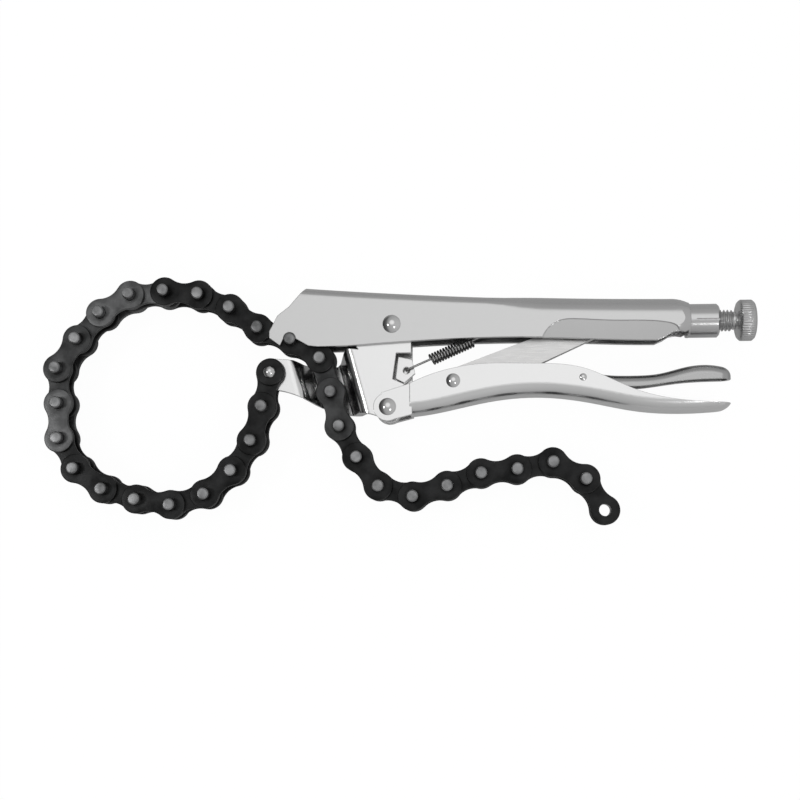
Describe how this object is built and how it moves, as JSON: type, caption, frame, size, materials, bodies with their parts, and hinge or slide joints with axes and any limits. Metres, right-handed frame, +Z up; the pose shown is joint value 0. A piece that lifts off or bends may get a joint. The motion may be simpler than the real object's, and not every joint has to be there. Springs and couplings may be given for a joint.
{
  "type": "locking chain clamp",
  "caption": "Locking plier with a roller-style chain on its lower jaw; the chain loops round the work, hooks over the nose, and a toggle lever locks it.",
  "frame": {"origin": "centre of the bounding box, on the surface that the clamp lies on", "axes": "+X from the chain loop to the adjusting screw, +Y from the lever up to the fixed handle, +Z up along the rivets"},
  "size_m": [0.319, 0.1124, 0.0256],
  "materials": {
    "handle_nickel": "satin nickel plate over pressed steel, soft gradients",
    "lever_nickel": "bright nickel plate over pressed steel",
    "rivet_nickel": "bright domed rivet heads",
    "screw_nickel": "nickel plate, knurled and threaded",
    "chain_steel": "dark oiled oxide, pin ends worn to bare steel",
    "toggle_steel": "plain steel strap",
    "spring_steel": "drawn spring wire"
  },
  "bodies": {
    "handle": {"fixed_handle": "handle_nickel", "jaw_pivot_rivet": "rivet_nickel"},
    "screw": {"adjusting_screw": "screw_nickel"},
    "jaw": {"lower_jaw": "lever_nickel", "lever_pivot_rivet": "rivet_nickel", "chain_rivet": "rivet_nickel", "chain_washers": "chain_steel", "opening_spring": "spring_steel"},
    "lever": {"lever": "lever_nickel", "toggle_rivet": "rivet_nickel", "toggle_bushes": "toggle_steel", "release_pin": "rivet_nickel"},
    "toggle": {"toggle_link": "toggle_steel"},
    "release": {"release_lever": "lever_nickel"},
    "link_01": {"chain_link_01": "chain_steel"},
    "link_02": {"chain_link_02": "chain_steel"},
    "link_03": {"chain_link_03": "chain_steel"},
    "link_04": {"chain_link_04": "chain_steel"},
    "link_05": {"chain_link_05": "chain_steel"},
    "link_06": {"chain_link_06": "chain_steel"},
    "link_07": {"chain_link_07": "chain_steel"},
    "link_08": {"chain_link_08": "chain_steel"},
    "link_09": {"chain_link_09": "chain_steel"},
    "link_10": {"chain_link_10": "chain_steel"},
    "link_11": {"chain_link_11": "chain_steel"},
    "link_12": {"chain_link_12": "chain_steel"},
    "link_13": {"chain_link_13": "chain_steel"},
    "link_14": {"chain_link_14": "chain_steel"},
    "link_15": {"chain_link_15": "chain_steel"},
    "link_16": {"chain_link_16": "chain_steel"},
    "link_17": {"chain_link_17": "chain_steel"},
    "link_18": {"chain_link_18": "chain_steel"},
    "link_19": {"chain_link_19": "chain_steel"},
    "link_20": {"chain_link_20": "chain_steel"},
    "link_21": {"chain_link_21": "chain_steel"},
    "link_22": {"chain_link_22": "chain_steel"},
    "link_23": {"chain_link_23": "chain_steel"},
    "link_24": {"chain_link_24": "chain_steel"},
    "link_25": {"chain_link_25": "chain_steel"},
    "link_26": {"chain_link_26": "chain_steel"},
    "link_27": {"chain_link_27": "chain_steel"},
    "link_28": {"chain_link_28": "chain_steel"},
    "link_29": {"chain_link_29": "chain_steel"},
    "link_30": {"chain_link_30": "chain_steel"},
    "link_31": {"chain_link_31": "chain_steel"}
  },
  "joints": [
    {"name": "lever_swing", "type": "hinge", "parent": "jaw", "child": "lever", "pos_m": [-0.00254, -0.00419, 0.01425], "axis": [0, 0, -1], "range_deg": [0, 36]},
    {"name": "jaw_swing", "type": "hinge", "parent": "handle", "child": "jaw", "pos_m": [-0.00074, 0.03271, 0.01425], "axis": [0, 0, 1], "range_deg": [0, 8.7], "deforming": ["opening_spring"]},
    {"name": "toggle_swing", "type": "hinge", "parent": "lever", "child": "toggle", "pos_m": [0.02646, 0.00711, 0.01425], "axis": [0, 0, 1], "range_deg": [0, 40]},
    {"name": "release_press", "type": "hinge", "parent": "lever", "child": "release", "pos_m": [0.08326, 0.00811, 0.01425], "axis": [0, 0, -1], "range_deg": [0, 6]},
    {"name": "screw_feed", "type": "slide", "parent": "handle", "child": "screw", "axis": [1, 0, 0], "range_m": [0, 0.012]},
    {"name": "chain_joint_01", "type": "hinge", "parent": "jaw", "child": "link_01", "pos_m": [-0.05574, 0.01221, 0.01425], "axis": [0, 0, 1], "range_deg": [-4.6, 4.6]},
    {"name": "chain_joint_02", "type": "hinge", "parent": "link_01", "child": "link_02", "pos_m": [-0.05904, -0.00332, 0.01425], "axis": [0, 0, 1], "range_deg": [-3.2, 3.2]},
    {"name": "chain_joint_03", "type": "hinge", "parent": "link_02", "child": "link_03", "pos_m": [-0.06369, -0.0185, 0.01425], "axis": [0, 0, 1], "range_deg": [-0.6, 0.6]},
    {"name": "chain_joint_04", "type": "hinge", "parent": "link_03", "child": "link_04", "pos_m": [-0.07233, -0.03182, 0.01425], "axis": [0, 0, 1], "range_deg": [-4.9, 4.9]},
    {"name": "chain_joint_05", "type": "hinge", "parent": "link_04", "child": "link_05", "pos_m": [-0.08431, -0.04223, 0.01425], "axis": [0, 0, 1], "range_deg": [-6.1, 6.1]},
    {"name": "chain_joint_06", "type": "hinge", "parent": "link_05", "child": "link_06", "pos_m": [-0.09949, -0.04687, 0.01425], "axis": [0, 0, 1], "range_deg": [-4.4, 4.4]},
    {"name": "chain_joint_07", "type": "hinge", "parent": "link_06", "child": "link_07", "pos_m": [-0.11517, -0.04439, 0.01425], "axis": [0, 0, 1], "range_deg": [-1.8, 1.8]},
    {"name": "chain_joint_08", "type": "hinge", "parent": "link_07", "child": "link_08", "pos_m": [-0.13035, -0.03975, 0.01425], "axis": [0, 0, 1], "range_deg": [-1.3, 1.3]},
    {"name": "chain_joint_09", "type": "hinge", "parent": "link_08", "child": "link_09", "pos_m": [-0.14336, -0.03064, 0.01425], "axis": [0, 0, 1], "range_deg": [-4.4, 4.4]},
    {"name": "chain_joint_10", "type": "hinge", "parent": "link_09", "child": "link_10", "pos_m": [-0.1513, -0.0169, 0.01425], "axis": [0, 0, 1], "range_deg": [-6.2, 6.2]},
    {"name": "chain_joint_11", "type": "hinge", "parent": "link_10", "child": "link_11", "pos_m": [-0.15213, -0.00104, 0.01425], "axis": [0, 0, 1], "range_deg": [-4.8, 4.8]},
    {"name": "chain_joint_12", "type": "hinge", "parent": "link_11", "child": "link_12", "pos_m": [-0.15296, 0.01481, 0.01425], "axis": [0, 0, 1], "range_deg": [-1, 1]},
    {"name": "chain_joint_13", "type": "hinge", "parent": "link_12", "child": "link_13", "pos_m": [-0.14431, 0.02813, 0.01425], "axis": [0, 0, 1], "range_deg": [-1.6, 1.6]},
    {"name": "chain_joint_14", "type": "hinge", "parent": "link_13", "child": "link_14", "pos_m": [-0.1339, 0.04011, 0.01425], "axis": [0, 0, 1], "range_deg": [-3.9, 3.9]},
    {"name": "chain_joint_15", "type": "hinge", "parent": "link_14", "child": "link_15", "pos_m": [-0.12029, 0.04828, 0.01425], "axis": [0, 0, 1], "range_deg": [-5.3, 5.3]},
    {"name": "chain_joint_16", "type": "hinge", "parent": "link_15", "child": "link_16", "pos_m": [-0.10447, 0.04967, 0.01425], "axis": [0, 0, 1], "range_deg": [-5.1, 5.1]},
    {"name": "chain_joint_17", "type": "hinge", "parent": "link_16", "child": "link_17", "pos_m": [-0.08869, 0.04801, 0.01425], "axis": [0, 0, 1], "range_deg": [-2.1, 2.1]},
    {"name": "chain_joint_18", "type": "hinge", "parent": "link_17", "child": "link_18", "pos_m": [-0.07418, 0.04155, 0.01425], "axis": [0, 0, 1], "range_deg": [-2.2, 2.2]},
    {"name": "chain_joint_19", "type": "hinge", "parent": "link_18", "child": "link_19", "pos_m": [-0.06132, 0.03225, 0.01425], "axis": [0, 0, 1], "range_deg": [-4.3, 4.3]},
    {"name": "chain_joint_20", "type": "hinge", "parent": "link_19", "child": "link_20", "pos_m": [-0.04644, 0.02671, 0.01425], "axis": [0, 0, 1], "range_deg": [-3.9, 3.9]},
    {"name": "chain_joint_21", "type": "hinge", "parent": "link_20", "child": "link_21", "pos_m": [-0.03313, 0.01806, 0.01425], "axis": [0, 0, 1], "range_deg": [-6, 1.5]},
    {"name": "chain_joint_22", "type": "hinge", "parent": "link_21", "child": "link_22", "pos_m": [-0.02822, 0.00296, 0.01425], "axis": [0, 0, 1], "range_deg": [-20, 0]},
    {"name": "chain_joint_23", "type": "hinge", "parent": "link_22", "child": "link_23", "pos_m": [-0.02438, -0.01244, 0.01425], "axis": [0, 0, 1], "range_deg": [-20, 10]},
    {"name": "chain_joint_24", "type": "hinge", "parent": "link_23", "child": "link_24", "pos_m": [-0.01645, -0.02619, 0.01425], "axis": [0, 0, 1], "range_deg": [-20, 10]},
    {"name": "chain_joint_25", "type": "hinge", "parent": "link_24", "child": "link_25", "pos_m": [-0.00689, -0.03887, 0.01425], "axis": [0, 0, -1], "range_deg": [-12, 20]},
    {"name": "chain_joint_26", "type": "hinge", "parent": "link_25", "child": "link_26", "pos_m": [0.00829, -0.04351, 0.01425], "axis": [0, 0, 1], "range_deg": [-20, 18]},
    {"name": "chain_joint_27", "type": "hinge", "parent": "link_26", "child": "link_27", "pos_m": [0.02347, -0.03887, 0.01425], "axis": [0, 0, -1], "range_deg": [-22, 25]},
    {"name": "chain_joint_28", "type": "hinge", "parent": "link_27", "child": "link_28", "pos_m": [0.03839, -0.03344, 0.01425], "axis": [0, 0, -1], "range_deg": [-30, 30]},
    {"name": "chain_joint_29", "type": "hinge", "parent": "link_28", "child": "link_29", "pos_m": [0.05418, -0.03178, 0.01425], "axis": [0, 0, 1], "range_deg": [-40, 40]},
    {"name": "chain_joint_30", "type": "hinge", "parent": "link_29", "child": "link_30", "pos_m": [0.06976, -0.02875, 0.01425], "axis": [0, 0, -1], "range_deg": [-45, 45]},
    {"name": "chain_joint_31", "type": "hinge", "parent": "link_30", "child": "link_31", "pos_m": [0.08378, -0.0362, 0.01425], "axis": [0, 0, 1], "range_deg": [-45, 45]}
  ],
  "couplings": [
    {"joint": "jaw_swing", "follows": "lever_swing", "ratio": 0.24},
    {"joint": "toggle_swing", "follows": "lever_swing", "ratio": 1.11},
    {"joint": "chain_joint_02", "follows": "chain_joint_01", "ratio": 0.6835},
    {"joint": "chain_joint_03", "follows": "chain_joint_01", "ratio": -0.1179},
    {"joint": "chain_joint_04", "follows": "chain_joint_01", "ratio": -1.0481},
    {"joint": "chain_joint_05", "follows": "chain_joint_01", "ratio": -1.3225},
    {"joint": "chain_joint_06", "follows": "chain_joint_01", "ratio": -0.9519},
    {"joint": "chain_joint_07", "follows": "chain_joint_01", "ratio": -0.3767},
    {"joint": "chain_joint_08", "follows": "chain_joint_01", "ratio": 0.2635},
    {"joint": "chain_joint_09", "follows": "chain_joint_01", "ratio": 0.935},
    {"joint": "chain_joint_10", "follows": "chain_joint_01", "ratio": 1.3357},
    {"joint": "chain_joint_11", "follows": "chain_joint_01", "ratio": 1.0301},
    {"joint": "chain_joint_12", "follows": "chain_joint_01", "ratio": 0.2142},
    {"joint": "chain_joint_13", "follows": "chain_joint_01", "ratio": -0.343},
    {"joint": "chain_joint_14", "follows": "chain_joint_01", "ratio": -0.8315},
    {"joint": "chain_joint_15", "follows": "chain_joint_01", "ratio": -1.1396},
    {"joint": "chain_joint_16", "follows": "chain_joint_01", "ratio": -1.1071},
    {"joint": "chain_joint_17", "follows": "chain_joint_01", "ratio": -0.4452},
    {"joint": "chain_joint_18", "follows": "chain_joint_01", "ratio": 0.4633},
    {"joint": "chain_joint_19", "follows": "chain_joint_01", "ratio": 0.9278},
    {"joint": "chain_joint_20", "follows": "chain_joint_01", "ratio": 0.8303},
    {"joint": "chain_joint_22", "follows": "lever_swing", "ratio": -0.55}
  ]
}
